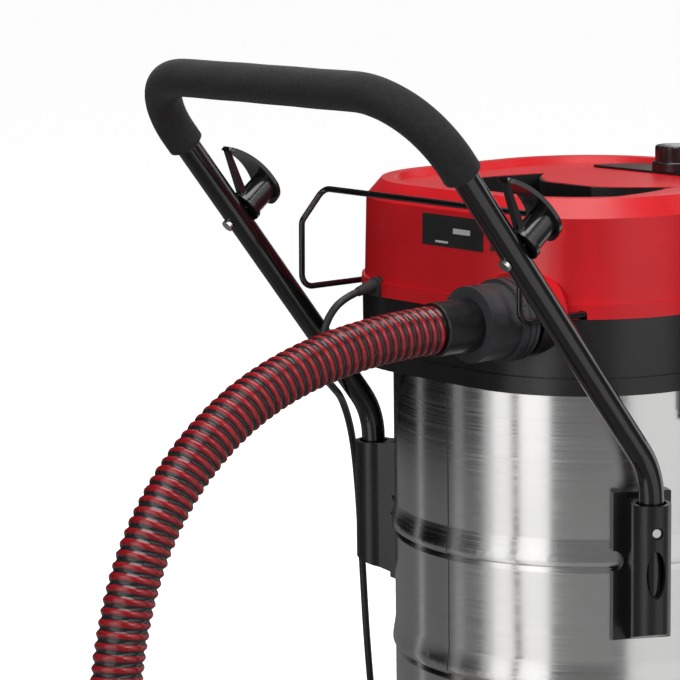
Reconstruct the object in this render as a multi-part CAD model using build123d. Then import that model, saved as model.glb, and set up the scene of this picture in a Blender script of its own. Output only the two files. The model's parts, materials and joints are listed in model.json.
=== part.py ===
from build123d import *
import math
import os

# A wet and dry shop vacuum: a steel drum on a wheeled base, with a motor head that
# latches on top, a push handle at the rear, and a hose and a mains lead.
# The drum's axis is X = 0, Y = 0 while the pieces are drawn, and the floor is Z = 0.
# The inlet faces -Y and the push handle is on the +Y side. Left pieces are at +X.

# ---- drum ----
DRUM_RADIUS = 190.0
DRUM_WALL = 1.0
DRUM_HEIGHT = 450.0
BEAD_DROPS = (182.0, 300.7)
BEAD_HEIGHT = 28.0
BEAD_BULGE = 3.2
RIM_ROLL = 3.5

# ---- base, wheels and casters ----
BASE_OVER_DRUM = 12.0
BASE_UNDER_AXLE = 20.0
DRUM_OVER_AXLE = 22.0
BASE_FLOOR = 8.0
BASE_WALL = 4.0
BASE_LIP = 18.0
SEAT_CLEARANCE = 0.4
AXLE_RADIUS = 6.0
AXLE_INSET = 67.0
WHEEL_RADIUS = 90.0
WHEEL_WIDTH = 36.0
WHEEL_CLEARANCE = 1.1
TYRE_DEPTH = 16.0
RUNNING_FIT = 0.08
CASTER_INSET = 18.9
CASTER_ANGLE = 49.87
CASTER_RADIUS = 25.0
CASTER_WIDTH = 22.0
CASTER_TRAIL = 20.0
STEM_RADIUS = 5.0
CASTER_PIN_RADIUS = 3.0
FORK_OVER_WHEEL = 12.0
STEM_COVER = 12.0
FORK_PLATE = 5.0

# ---- motor head ----
HEAD_OVER_DRUM = 7.0
HEAD_FLAT = 57.0
HEAD_WALL = 3.0
SKIRT_OVERLAP = 12.0
SKIRT_HEIGHT = 16.0
SKIRT_STEP = 2.0
BAND_HEIGHT = 55.0
LIP_HEIGHT = 14.0
WALL_HEIGHT = 92.0
TOP_HEIGHT = 109.0
DECK = 4.0
DECK_HOLE = 60.0
PANEL_SINK = 7.0
RIM_WIDTH = 13.0

# ---- blow port and hose ----
PORT_TO_WIRE = 46.0
PORT_RISE = 1.0
PORT_BORE = 27.0
PORT_WALL = 3.0
PORT_OUT = 17.0
COUPLING_WALL = 5.0
COUPLING_LENGTH = 54.0
COUPLING_OVERLAP = 15.0
COUPLING_FACETS = 14
RING_WALL = 3.5
RING_WIDTH = 19.0
SLEEVE_WALL = 2.5
SLEEVE_LENGTH = 42.0
HOSE_RADIUS = 22.0
HOSE_COIL_CENTRE = (80.0, 505.0)
HOSE_COIL_RADIUS = 222.0

# ---- push handle ----
TUBE_RADIUS = 12.0
TUBE_WALL = 1.5
HANDLE_OVER_DRUM = 10.0
SOCKET_Y = 107.6
TUBE_SEAT = 110.0
LEG_BEND_RISE = 24.5
GRIP_REACH = 202.0
GRIP_RISE = 111.5
HANDLE_BEND = 75.0
FOAM_RADIUS = 18.0
FOAM_LEG = 91.0
HOOK_ALONG = 276.0
BOLT_RADIUS = 3.0

# ---- handle sockets ----
SOCKET_DROP = 107.0
SOCKET_HEIGHT = 144.0
SOCKET_SLEEVE = 18.5
SOCKET_HALF = 28.0
TUBE_CLEARANCE = 0.15
SOCKET_SCREW_DROP = 30.0
SOCKET_SLOT_RISE = 74.0
SLOT_HALF_WIDTH = 9.0
SLOT_HALF_HEIGHT = 22.5
SCREW_RECESS = 6.3

# ---- hose holder and mains lead ----
WIRE_RADIUS = 3.0
WIRE_INSET = 40.0
WIRE_RISE = 5.0
CORD_RADIUS = 3.75
CORD_TO_WIRE = 69.0
CORD_RISE = 11.0
CORD_TAPER = 20.0
CORD_DIP = 14.0
GROMMET_PROUD = 1.5
CORD_COIL_CENTRE = (308.0, -40.0)
CORD_COIL_RADIUS = 54.0
CORD_COIL_WIDTH = 30.0
CORD_COIL_HEIGHT = 22.5

# ---- inlet, latches, motor and filter ----
INLET_DROP = 92.0
INLET_RADIUS = 35.0
INLET_BORE = 29.0
INLET_OUT = 42.0
DRAIN_RISE = 48.0
LATCH_Y = 15.0
LATCH_HALF = 35.0
LATCH_PIVOT_OUT = 9.0
LATCH_PIVOT_DROP = 23.0
LATCH_FACE_OUT = 5.5
LATCH_PLATE = 5.0
LATCH_PIN_RADIUS = 2.5
CATCH_DROP = 40.0
MOTOR_RADIUS = 68.0
MOTOR_HEADROOM = 48.0
CAGE_RADIUS = 48.0
CAGE_DEPTH = 126.0
FILTER_RADIUS = 82.0
KNOB_INSET = 67.0
KNOB_RADIUS = 25.5
OUTLET_X = 0.0
OUTLET_RISE = 47.0
OUTLET_RADIUS = 25.0
FLAP_GAP = 0.5
FLAP_PIN_OUT = 4.2

LOW = (Align.CENTER, Align.CENTER, Align.MIN)
DRUM_INNER = DRUM_RADIUS - DRUM_WALL
AXLE_Z = WHEEL_RADIUS
RIM_RADIUS = WHEEL_RADIUS - TYRE_DEPTH
BASE_BOTTOM = AXLE_Z - BASE_UNDER_AXLE
DRUM_BOTTOM = AXLE_Z + DRUM_OVER_AXLE
DRUM_TOP = DRUM_BOTTOM + DRUM_HEIGHT
BEAD_CREASES = [DRUM_TOP - drop for drop in BEAD_DROPS]
BASE_RADIUS = DRUM_RADIUS + BASE_OVER_DRUM
FLOOR_UNDERSIDE = DRUM_BOTTOM - BASE_FLOOR
AXLE_Y = BASE_RADIUS - AXLE_INSET
WHEEL_INNER_X = math.sqrt(BASE_RADIUS ** 2 - (AXLE_Y - WHEEL_RADIUS) ** 2) + WHEEL_CLEARANCE
CASTER_X = (BASE_RADIUS - CASTER_INSET) * math.cos(math.radians(CASTER_ANGLE))
CASTER_Y = (BASE_RADIUS - CASTER_INSET) * math.sin(math.radians(CASTER_ANGLE))
BOSS_BOTTOM = 2 * CASTER_RADIUS + FORK_OVER_WHEEL
STEM_TOP = FLOOR_UNDERSIDE - STEM_COVER
HEAD_HALF = DRUM_RADIUS + HEAD_OVER_DRUM
HEAD_CORNER = HEAD_HALF - HEAD_FLAT
SKIRT_BOTTOM = DRUM_TOP - SKIRT_OVERLAP
SKIRT_TOP = SKIRT_BOTTOM + SKIRT_HEIGHT
HEAD_SPLIT = SKIRT_TOP + BAND_HEIGHT
LIP_TOP = HEAD_SPLIT + LIP_HEIGHT
WALL_TOP = HEAD_SPLIT + WALL_HEIGHT
HEAD_TOP = HEAD_SPLIT + TOP_HEIGHT
PANEL_Z = HEAD_TOP - PANEL_SINK
DECK_Z = SKIRT_TOP
WIRE_HALF = HEAD_HALF - WIRE_INSET
WIRE_Z = HEAD_SPLIT + WIRE_RISE
PORT_RADIUS = PORT_BORE + PORT_WALL
COUPLING_RADIUS = PORT_RADIUS + COUPLING_WALL
RING_RADIUS = COUPLING_RADIUS + RING_WALL
SLEEVE_RADIUS = HOSE_RADIUS + SLEEVE_WALL
PORT_X = PORT_TO_WIRE - WIRE_HALF
PORT_Z = HEAD_SPLIT + PORT_RISE
PORT_MOUTH_Y = HEAD_HALF + PORT_OUT
CORD_X = WIRE_HALF - CORD_TO_WIRE
CORD_Z = HEAD_SPLIT + CORD_RISE
GROMMET_FACE_Y = HEAD_HALF + GROMMET_PROUD
HANDLE_HALF = DRUM_RADIUS + HANDLE_OVER_DRUM
SOCKET_TOP = DRUM_TOP - SOCKET_DROP
SOCKET_BOTTOM = SOCKET_TOP - SOCKET_HEIGHT
SOCKET_SCREW_Z = SOCKET_TOP - SOCKET_SCREW_DROP
TUBE_BOTTOM = SOCKET_TOP - TUBE_SEAT
LEG_BEND_Z = SOCKET_TOP + LEG_BEND_RISE
GRIP_Y = DRUM_RADIUS + GRIP_REACH
GRIP_Z = HEAD_TOP + GRIP_RISE
INLET_Z = DRUM_TOP - INLET_DROP
INLET_REACH = DRUM_RADIUS + INLET_OUT
DRAIN_Z = DRUM_BOTTOM + DRAIN_RISE
LATCH_PIVOT_X = HEAD_HALF + LATCH_PIVOT_OUT
LATCH_PIVOT_Z = HEAD_SPLIT - LATCH_PIVOT_DROP
LATCH_FACE_X = HEAD_HALF + LATCH_FACE_OUT
CATCH_BOTTOM = DRUM_TOP - CATCH_DROP
MOTOR_TOP = HEAD_TOP - MOTOR_HEADROOM
CAGE_BOTTOM = DECK_Z - CAGE_DEPTH
KNOB_Y = KNOB_INSET - HEAD_HALF
OUTLET_Z = HEAD_SPLIT + OUTLET_RISE
SOCKET_ANGLE = math.degrees(math.atan2(SOCKET_Y, HANDLE_HALF))
SOCKET_OUT = math.hypot(SOCKET_Y, HANDLE_HALF)
LEG_RUN = math.hypot(GRIP_Y - SOCKET_Y, GRIP_Z - LEG_BEND_Z)
LEG_UP = Vector(0, (GRIP_Y - SOCKET_Y) / LEG_RUN, (GRIP_Z - LEG_BEND_Z) / LEG_RUN)
HOOK_OUT = Vector(0, -LEG_UP.Z, LEG_UP.Y)
CORD_OUT = Vector(0, math.cos(math.radians(CORD_DIP)), -math.sin(math.radians(CORD_DIP)))
CORD_EXIT = Vector(CORD_X, GROMMET_FACE_Y, CORD_Z) + CORD_OUT * CORD_TAPER
CORD_BEND = CORD_EXIT + CORD_OUT * 20
WHEEL_OUTER_X = WHEEL_INNER_X + WHEEL_WIDTH
BEAD_RADIUS = DRUM_RADIUS + BEAD_BULGE


def upright(radius, bottom, top):
    return Pos(0, 0, bottom) * Cylinder(radius, top - bottom, align=LOW)


def along_x(radius, start, end):
    return Pos(start, 0, 0) * (Rot(0, 90, 0) * Cylinder(radius, end - start, align=LOW))


def along_y(radius, start, end):
    return Pos(0, start, 0) * (Rot(-90, 0, 0) * Cylinder(radius, end - start, align=LOW))


def block(x0, x1, y0, y1, z0, z1):
    centre = Pos((x0 + x1) / 2, (y0 + y1) / 2, (z0 + z1) / 2)
    return centre * Box(x1 - x0, y1 - y0, z1 - z0)


def mirrored(shape):
    return mirror(shape, about=Plane.YZ)


def both_sides(shape):
    return shape + mirrored(shape)


def soft_square(half, corner, z):
    return Pos(0, 0, z) * RectangleRounded(2 * half, 2 * half, corner)


def tapered_square(half0, corner0, z0, half1, corner1, z1):
    return loft([soft_square(half0, corner0, z0).face(), soft_square(half1, corner1, z1).face()])


def rod_along(points, radii, radius):
    path = FilletPolyline(*points, radius=radii)
    start = path.location_at(0)
    section = Plane(start.position, z_dir=path % 0) * Circle(radius)
    return sweep(section, path=path)


def fair_radii(points):
    """One radius for each corner: as large as its two runs allow."""
    radii = []
    for before, corner, after in zip(points, points[1:], points[2:]):
        into = Vector(*corner) - Vector(*before)
        out = Vector(*after) - Vector(*corner)
        half_turn = math.radians(into.get_angle(out)) / 2
        radii.append(0.45 * min(into.length, out.length) / math.tan(half_turn))
    return radii


# ---- drum ----

def drum_outline(offset):
    """The drum's outside line from bottom to top, moved out by the offset."""
    radius = DRUM_RADIUS + offset
    bottom = DRUM_BOTTOM - offset
    line = [Line((0, bottom), (radius, bottom))]
    z = bottom
    for crease in sorted(BEAD_CREASES):
        top = crease + BEAD_HEIGHT
        bulge = radius + BEAD_BULGE
        line.append(Line((radius, z), (radius, crease - 5)))
        line.append(Line((radius, crease - 5), (radius - 1.2, crease)))
        line.append(Line((radius - 1.2, crease), (bulge - 0.6, crease + 2.6)))
        shoulder = (bulge - 0.6, crease + 2.6)
        line.append(Bezier(shoulder, (bulge + 0.6, crease + 8), (radius, top - 10), (radius, top)))
        z = top
    line.append(Line((radius, z), (radius, DRUM_TOP)))
    line.append(Line((radius, DRUM_TOP), (0, DRUM_TOP)))
    line.append(Line((0, DRUM_TOP), (0, bottom)))
    return line


def drum_solid(offset):
    return revolve(Plane.XZ * make_face(drum_outline(offset)), axis=Axis.Z)


def drum():
    roll_radius = DRUM_RADIUS - RIM_ROLL
    roll = revolve(Plane.XZ * (Pos(roll_radius, DRUM_TOP - RIM_ROLL) * Circle(RIM_ROLL)), axis=Axis.Z)
    body = drum_solid(0) - drum_solid(-DRUM_WALL)
    body -= upright(DRUM_INNER, DRUM_TOP - DRUM_WALL, DRUM_TOP + 1)
    body += roll
    body -= Pos(0, 0, INLET_Z) * along_y(INLET_BORE, -DRUM_RADIUS - 10, -DRUM_RADIUS + 30)
    body -= Pos(0, 0, DRAIN_Z) * along_y(14, -DRUM_RADIUS - 10, -DRUM_RADIUS + 30)
    for x, z in inlet_screw_places():
        body -= Pos(x, 0, z) * along_y(2.5, -DRUM_RADIUS - 10, -DRUM_RADIUS + 30)
    return body


def drum_rim_seal():
    z0 = DRUM_TOP
    return upright(DRUM_RADIUS + 1, z0, DECK_Z) - upright(DRUM_RADIUS - 9, z0, DECK_Z)


def suction_inlet():
    """A round spigot on a saddle plate, with a lock groove behind the mouth."""
    plate = Rot(90, 0, 0) * RectangleRounded(116, 104, 20)
    saddle = extrude(Pos(0, -DRUM_RADIUS - 9, INLET_Z) * plate, 40, dir=(0, 1, 0))
    body = saddle - drum_solid(0)
    body += Pos(0, 0, INLET_Z) * along_y(INLET_RADIUS + 6, -DRUM_RADIUS - 18, -DRUM_RADIUS - 8)
    body += Pos(0, 0, INLET_Z) * along_y(INLET_RADIUS, -INLET_REACH, -DRUM_RADIUS - 8)
    body += Pos(0, 0, INLET_Z) * along_y(INLET_BORE, -DRUM_RADIUS - 5, -DRUM_RADIUS + 20)
    body -= Pos(0, 0, INLET_Z) * along_y(INLET_BORE - 2, -INLET_REACH - 1, -DRUM_RADIUS + 40)
    groove = along_y(INLET_RADIUS + 5, -INLET_REACH + 14, -INLET_REACH + 20)
    groove -= along_y(INLET_RADIUS - 2.5, -INLET_REACH + 10, -INLET_REACH + 24)
    body -= Pos(0, 0, INLET_Z) * groove
    screws = inlet_screw_places()
    for x, z in screws:
        body -= Pos(x, 0, z) * along_y(2.5, -DRUM_RADIUS - 12, -DRUM_RADIUS + 40)
    return body


def inlet_screw_places():
    return [(x, INLET_Z + dz) for x in (-47, 47) for dz in (-40, 40)]


def inlet_screws():
    screws = Part()
    for x, z in inlet_screw_places():
        head = along_y(4.5, -DRUM_RADIUS - 11.5, -DRUM_RADIUS - 9)
        shank = along_y(2.4, -DRUM_RADIUS - 9, -DRUM_RADIUS + 9)
        screws += Pos(x, 0, z) * (head + shank)
    return screws


def drain_plug():
    """A screw cap with a ribbed rim, on a short threaded spigot."""
    cap = along_y(22, -DRUM_RADIUS - 17, -DRUM_RADIUS - 1.5)
    cap -= drum_solid(0)
    grips = 12
    for i in range(grips):
        turn = 2 * math.pi * i / grips
        notch = along_y(2.2, -DRUM_RADIUS - 20, -DRUM_RADIUS - 5)
        cap -= Pos(22.6 * math.cos(turn), 0, 22.6 * math.sin(turn)) * notch
    cap += along_y(13.6, -DRUM_RADIUS - 6, -DRUM_RADIUS + 8)
    cap -= along_y(10, -DRUM_RADIUS - 6, -DRUM_RADIUS + 9)
    return Pos(0, 0, DRAIN_Z) * cap


# ---- base, wheels and casters ----

def base_chassis():
    floor_bottom = FLOOR_UNDERSIDE
    body = upright(BASE_RADIUS, BASE_BOTTOM, DRUM_BOTTOM + BASE_LIP)
    body = chamfer(body.edges().group_by(Axis.Z)[-1], 3)
    body -= upright(BASE_RADIUS - BASE_WALL, BASE_BOTTOM, floor_bottom)
    body -= upright(DRUM_RADIUS + SEAT_CLEARANCE, DRUM_BOTTOM, DRUM_BOTTOM + BASE_LIP)
    lug = block(AXLE_Y - 3, WHEEL_INNER_X - 4, AXLE_Y - 24, AXLE_Y + 24, AXLE_Z - 26, floor_bottom)
    lug = fillet(lug.edges().filter_by(Axis.X).group_by(Axis.Z)[0], 18)
    boss = Pos(CASTER_X, -CASTER_Y, 0) * upright(22, BOSS_BOTTOM, floor_bottom)
    rib = block(3 - AXLE_Y, AXLE_Y - 3, AXLE_Y - 10, AXLE_Y + 10, AXLE_Z - 14, floor_bottom)
    cross = block(-CASTER_X, CASTER_X, -CASTER_Y - 4, -CASTER_Y + 4, BASE_BOTTOM + 6, floor_bottom)
    body += both_sides(lug + boss) + rib + cross
    body -= Pos(0, AXLE_Y, AXLE_Z) * along_x(AXLE_RADIUS + 0.02, -WHEEL_OUTER_X, WHEEL_OUTER_X)
    stem_hole = upright(STEM_RADIUS + RUNNING_FIT, BOSS_BOTTOM - 1, STEM_TOP + 2)
    for x in (-CASTER_X, CASTER_X):
        body -= Pos(x, -CASTER_Y, 0) * stem_hole
    return body


def rear_axle():
    end = WHEEL_OUTER_X - 1
    body = along_x(AXLE_RADIUS, -end, end)
    body += both_sides(along_x(9, end - 3, end))
    return Pos(0, AXLE_Y, AXLE_Z) * body


def rear_wheel():
    """The left rim: a hub, a dished web with six openings, and a ring under the tyre."""
    inner = WHEEL_INNER_X
    outer = WHEEL_OUTER_X
    middle = (inner + outer) / 2
    body = along_x(RIM_RADIUS, inner + 1, outer - 1) - along_x(RIM_RADIUS - 9, inner, outer)
    body += along_x(18, inner, outer)
    body += along_x(RIM_RADIUS - 4, middle - 4, middle + 4)
    for i in range(6):
        turn = Rot(60 * i, 0, 0)
        body -= turn * (Pos(0, 0, (RIM_RADIUS + 10) / 2) * along_x(12, middle - 8, middle + 8))
    body -= along_x(AXLE_RADIUS + RUNNING_FIT, inner - 1, outer + 1)
    body -= along_x(10.5, outer - 4.4, outer + 1)
    return Pos(0, AXLE_Y, AXLE_Z) * body


def rear_tyre():
    inner = WHEEL_INNER_X
    outer = WHEEL_OUTER_X
    tread = along_x(WHEEL_RADIUS, inner, outer)
    tread = fillet(tread.edges().filter_by(GeomType.CIRCLE), 9)
    tread -= along_x(RIM_RADIUS, inner - 1, outer + 1)
    for x in (inner + 10, (inner + outer) / 2, outer - 10):
        groove = along_x(WHEEL_RADIUS + 2, x - 1, x + 1) - along_x(WHEEL_RADIUS - 2, x - 2, x + 2)
        tread -= groove
    return Pos(0, AXLE_Y, AXLE_Z) * tread


def hub_cap():
    cap = along_x(26, WHEEL_OUTER_X, WHEEL_OUTER_X + 5)
    cap = fillet(cap.edges().group_by(Axis.X)[-1], 3)
    cap += along_x(10.4, WHEEL_OUTER_X - 0.8, WHEEL_OUTER_X)
    return Pos(0, AXLE_Y, AXLE_Z) * cap


def caster_place(side):
    return Pos(side * CASTER_X, -CASTER_Y, 0)


def caster_fork(side):
    plate_top = BOSS_BOTTOM - 0.3
    cheek_in = CASTER_WIDTH / 2 + 1.5
    cheek_out = cheek_in + 4
    body = upright(20, plate_top - FORK_PLATE, plate_top)
    cheek = block(cheek_in, cheek_out, 0, CASTER_TRAIL + 8, CASTER_RADIUS, plate_top - 1)
    cheek += Pos(0, CASTER_TRAIL, CASTER_RADIUS) * along_x(8, cheek_in, cheek_out)
    body += both_sides(cheek)
    body += block(-cheek_out, cheek_out, 0, CASTER_TRAIL + 8, plate_top - FORK_PLATE, plate_top)
    body += upright(STEM_RADIUS, plate_top, STEM_TOP)
    pin_hole = along_x(CASTER_PIN_RADIUS, -cheek_out - 1, cheek_out + 1)
    body -= Pos(0, CASTER_TRAIL, CASTER_RADIUS) * pin_hole
    return caster_place(side) * body


def caster_axle(side):
    reach = CASTER_WIDTH / 2 + 6.5
    pin = along_x(CASTER_PIN_RADIUS, -reach, reach)
    return caster_place(side) * (Pos(0, CASTER_TRAIL, CASTER_RADIUS) * pin)


def caster_wheel(side):
    half = CASTER_WIDTH / 2
    wheel = along_x(CASTER_RADIUS, -half, half)
    wheel = fillet(wheel.edges().filter_by(GeomType.CIRCLE), 3)
    for start in (-half - 1, half - 3):
        wheel -= along_x(18, start, start + 4) - along_x(7, start, start + 4)
    wheel -= along_x(CASTER_PIN_RADIUS + RUNNING_FIT, -half - 1, half + 1)
    return caster_place(side) * (Pos(0, CASTER_TRAIL, CASTER_RADIUS) * wheel)


# ---- push handle ----

def handle_points():
    left = [
        (HANDLE_HALF, SOCKET_Y, TUBE_BOTTOM),
        (HANDLE_HALF, SOCKET_Y, LEG_BEND_Z),
        (HANDLE_HALF, GRIP_Y, GRIP_Z),
    ]
    return left + [(-x, y, z) for x, y, z in reversed(left)]


def hook_place():
    """The hook's axis crosses the left leg here: local Z leaves the tube, local Y is up the leg."""
    origin = Vector(HANDLE_HALF, SOCKET_Y, LEG_BEND_Z) + LEG_UP * HOOK_ALONG
    return Plane(origin, x_dir=(1, 0, 0), z_dir=HOOK_OUT)


def handle_tube():
    path = FilletPolyline(*handle_points(), radius=HANDLE_BEND)
    ring = Circle(TUBE_RADIUS) - Circle(TUBE_RADIUS - TUBE_WALL)
    body = sweep(Plane(path @ 0, z_dir=path % 0) * ring, path=path)
    hole = hook_place() * (Pos(0, 0, -TUBE_RADIUS - 2) * Cylinder(BOLT_RADIUS, 2 * TUBE_RADIUS + 4, align=LOW))
    screw_hole = socket_screw_shank(SOCKET_OUT + TUBE_RADIUS + 2, 2.2)
    return body - both_sides(hole) - both_sides(screw_hole)


def foam_grip():
    drop = LEG_UP * FOAM_LEG
    left_end = Vector(HANDLE_HALF, GRIP_Y, GRIP_Z) - drop
    right_end = Vector(-HANDLE_HALF, GRIP_Y, GRIP_Z) - drop
    points = [left_end, (HANDLE_HALF, GRIP_Y, GRIP_Z), (-HANDLE_HALF, GRIP_Y, GRIP_Z), right_end]
    path = FilletPolyline(*points, radius=HANDLE_BEND)
    ring = Circle(FOAM_RADIUS) - Circle(TUBE_RADIUS + 0.02)
    return sweep(Plane(path @ 0, z_dir=path % 0) * ring, path=path)


def cable_hook():
    """The left hook: a hub on the bolt, with a dished leaf that points up the leg."""
    crown = ThreePointArc((61, 34), (24, 49), (-19, 42))
    dish = make_face([
        crown,
        Line((-19, 42), (-19, 38)),
        ThreePointArc((-19, 38), (23, 45), (59, 30.5)),
        Line((59, 30.5), (61, 34)),
    ])
    under_crown = make_face([crown, Line((-19, 42), (-19, 0)), Line((-19, 0), (61, 0)), Line((61, 0), (61, 34))])
    hub = upright(16.5, TUBE_RADIUS + 0.4, TUBE_RADIUS + 4.5)
    hub += upright(14, TUBE_RADIUS + 0.4, 50) & extrude(Plane.YZ * under_crown, 20, both=True)
    blank = make_hull([*Circle(19).edges(), *(Pos(0, 53) * Circle(9)).edges()])
    loop = extrude(Plane.YZ * dish, 20, both=True) & extrude(blank, 60)
    strut = extrude(Plane.YZ * Polygon((10, 14), (58, 30.5), (59, 34), (10, 22), align=None), 3.6, both=True)
    hook = hub + loop + strut
    hook -= upright(BOLT_RADIUS + RUNNING_FIT, 0, 60)
    hook -= upright(8.5, 47.2, 60)
    return hook_place() * hook


def hook_bolts():
    bolt = upright(BOLT_RADIUS, -TUBE_RADIUS, 52.5)
    bolt += upright(6, -TUBE_RADIUS - 3.5, -TUBE_RADIUS)
    bolt += extrude(Pos(0, 0, 47.5) * RegularPolygon(5.6, 6), 4)
    return both_sides(hook_place() * bolt)


def socket_frame(shape):
    """From a frame whose X runs out from the drum's axis through the left socket."""
    return Rot(0, 0, SOCKET_ANGLE) * shape


def socket_screw_shank(reach, radius):
    start = SOCKET_OUT - TUBE_RADIUS - 2
    return socket_frame(Pos(0, 0, SOCKET_SCREW_Z) * along_x(radius, start, reach))


def handle_socket():
    """The left socket: a saddle plate on the drum that carries a sleeve for the leg."""
    plate = block(DRUM_INNER - 22, DRUM_RADIUS + 9, -SOCKET_HALF, SOCKET_HALF, SOCKET_BOTTOM, SOCKET_TOP)
    plate = fillet(plate.edges().filter_by(Axis.X), 1.5)
    for y in (-SOCKET_HALF, SOCKET_HALF):
        plate -= Pos(0, y, BEAD_CREASES[0] + BEAD_HEIGHT / 3) * along_x(10, DRUM_INNER - 25, DRUM_RADIUS + 12)
    sleeve = Pos(SOCKET_OUT, 0, 0) * upright(SOCKET_SLEEVE, SOCKET_BOTTOM, SOCKET_TOP - 5)
    web = block(DRUM_RADIUS, SOCKET_OUT, -15, 15, SOCKET_BOTTOM, SOCKET_TOP - 5)
    body = plate + sleeve + web
    under = Polygon((DRUM_RADIUS, SOCKET_BOTTOM), (SOCKET_OUT + 30, SOCKET_BOTTOM + 22),
                    (SOCKET_OUT + 30, SOCKET_BOTTOM - 9), (DRUM_RADIUS, SOCKET_BOTTOM - 9), align=None)
    body -= extrude(Plane.XZ * under, 60, both=True)
    body -= Pos(SOCKET_OUT, 0, 0) * upright(TUBE_RADIUS + TUBE_CLEARANCE, TUBE_BOTTOM - 4, SOCKET_TOP)
    body -= Pos(SOCKET_OUT, 0, 0) * upright(TUBE_RADIUS + 2.5, SOCKET_TOP - 11, SOCKET_TOP)
    slot = Ellipse(SLOT_HALF_WIDTH, SLOT_HALF_HEIGHT)
    body -= extrude(Plane.YZ * (Pos(0, SOCKET_BOTTOM + SOCKET_SLOT_RISE) * slot), SOCKET_OUT + 30) & block(
        SOCKET_OUT, SOCKET_OUT + 30, -20, 20, SOCKET_BOTTOM, SOCKET_TOP)
    body -= Pos(0, 0, SOCKET_SCREW_Z) * along_x(SCREW_RECESS, SOCKET_OUT + SOCKET_SLEEVE - 3, SOCKET_OUT + 30)
    body = socket_frame(body) - drum_solid(0)
    return body - socket_screw_shank(SOCKET_OUT + SOCKET_SLEEVE, 2.2)


def socket_screws():
    seat = SOCKET_OUT + SOCKET_SLEEVE - 3
    screw = socket_screw_shank(seat, 2.2)
    screw += socket_frame(Pos(0, 0, SOCKET_SCREW_Z) * along_x(4, seat, seat + 2.4))
    return both_sides(screw)


# ---- motor head ----

def head_outside(inset):
    """The top shell's outside, or its inside when inset."""
    half = HEAD_HALF - inset
    corner = HEAD_CORNER - inset
    lip = tapered_square(half, corner, HEAD_SPLIT, half, corner, LIP_TOP - inset)
    wall = tapered_square(half - 2.5, corner - 2, HEAD_SPLIT, half - 5, corner - 4, WALL_TOP - inset / 3)
    bevel = tapered_square(half - 5, corner - 4, WALL_TOP - inset / 3, half - 19, corner - 16, HEAD_TOP - inset)
    return lip + wall + bevel


def hand_pocket_outline(offset):
    """A crescent with its horns forward, drawn round the rear of the top panel."""
    wide = HEAD_HALF - 88 + offset
    side_y = HEAD_HALF - 127
    rear = HEAD_HALF - 80 + offset
    tip = (wide - 17, HEAD_HALF - 231 - offset)
    side = (wide - 2, HEAD_HALF - 169)
    corner = (wide - 9, HEAD_HALF - 99 + offset)
    shoulder = (30 - offset, HEAD_HALF - 177 - offset)
    inner = (HEAD_HALF - 131, HEAD_HALF - 201 - offset)
    outline = [
        ThreePointArc(tip, side, (wide, side_y)),
        ThreePointArc((wide, side_y), corner, (wide - 39 - offset, rear - 4)),
        ThreePointArc((wide - 39 - offset, rear - 4), (0, rear), (39 + offset - wide, rear - 4)),
        ThreePointArc((39 + offset - wide, rear - 4), (-corner[0], corner[1]), (-wide, side_y)),
        ThreePointArc((-wide, side_y), (-side[0], side[1]), (-tip[0], tip[1])),
        ThreePointArc((-tip[0], tip[1]), (-inner[0], inner[1]), (-shoulder[0], shoulder[1])),
        Line((-shoulder[0], shoulder[1]), shoulder),
        ThreePointArc(shoulder, inner, tip),
    ]
    return make_face(outline)


def head_top_shell():
    body = head_outside(0) - head_outside(HEAD_WALL)
    body -= tapered_square(HEAD_HALF - 3, HEAD_CORNER - 3, HEAD_SPLIT - 1, HEAD_HALF - 3, HEAD_CORNER - 3,
                           HEAD_SPLIT + 1)
    inner_half = HEAD_HALF - 19 - RIM_WIDTH
    inner_corner = HEAD_CORNER - 16 - RIM_WIDTH
    body += extrude(soft_square(inner_half + 4, inner_corner + 4, PANEL_Z - HEAD_WALL), HEAD_TOP - PANEL_Z)
    sink = tapered_square(inner_half - 4, inner_corner - 4, PANEL_Z,
                          inner_half + 1, inner_corner + 1, HEAD_TOP + 1)
    body -= sink
    body -= extrude(Pos(0, 0, PANEL_Z - 12) * hand_pocket_outline(0), 20)
    port = Pos(PORT_X, 0, PORT_Z)
    arch = port * (along_y(PORT_RADIUS + 12, HEAD_HALF - 47, HEAD_HALF + 1)
                   - along_y(PORT_RADIUS + 7, HEAD_HALF - 48, HEAD_HALF + 2))
    arch &= block(-HEAD_HALF, HEAD_HALF, HEAD_HALF - 29, HEAD_HALF + 2, HEAD_SPLIT, WALL_TOP)
    body += arch
    body -= port * along_y(PORT_RADIUS + 7, HEAD_HALF - 77, HEAD_HALF + 4)
    body -= block(CORD_X - 8, CORD_X + 8, HEAD_HALF - 47, HEAD_HALF + 4, HEAD_SPLIT - 1, CORD_Z)
    body -= Pos(CORD_X, 0, CORD_Z) * along_y(8, HEAD_HALF - 47, HEAD_HALF + 4)
    for x in (-WIRE_HALF, WIRE_HALF):
        body -= Pos(x, 0, WIRE_Z) * along_y(WIRE_RADIUS + 0.4, HEAD_HALF - 77, HEAD_HALF)
        body -= block(x - 3.4, x + 3.4, HEAD_HALF - 67, HEAD_HALF, HEAD_SPLIT - 1, WIRE_Z)
    body -= upright(4.5, PANEL_Z - 10, PANEL_Z + 10).moved(Location((0, KNOB_Y, 0)))
    body -= Pos(OUTLET_X, 0, OUTLET_Z) * along_y(OUTLET_RADIUS - 2, -HEAD_HALF - 5, -HEAD_HALF + 20)
    posts = Part()
    for x, y in screw_places():
        post = Pos(x, y, 0) * (upright(6, HEAD_SPLIT - 40, PANEL_Z - 2) - upright(2, HEAD_SPLIT - 41, HEAD_SPLIT))
        posts += post
    return body + posts


def screw_places():
    side = HEAD_HALF - 79
    return [(x, y) for x in (-side, side) for y in (-side, side + 12)]


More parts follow.
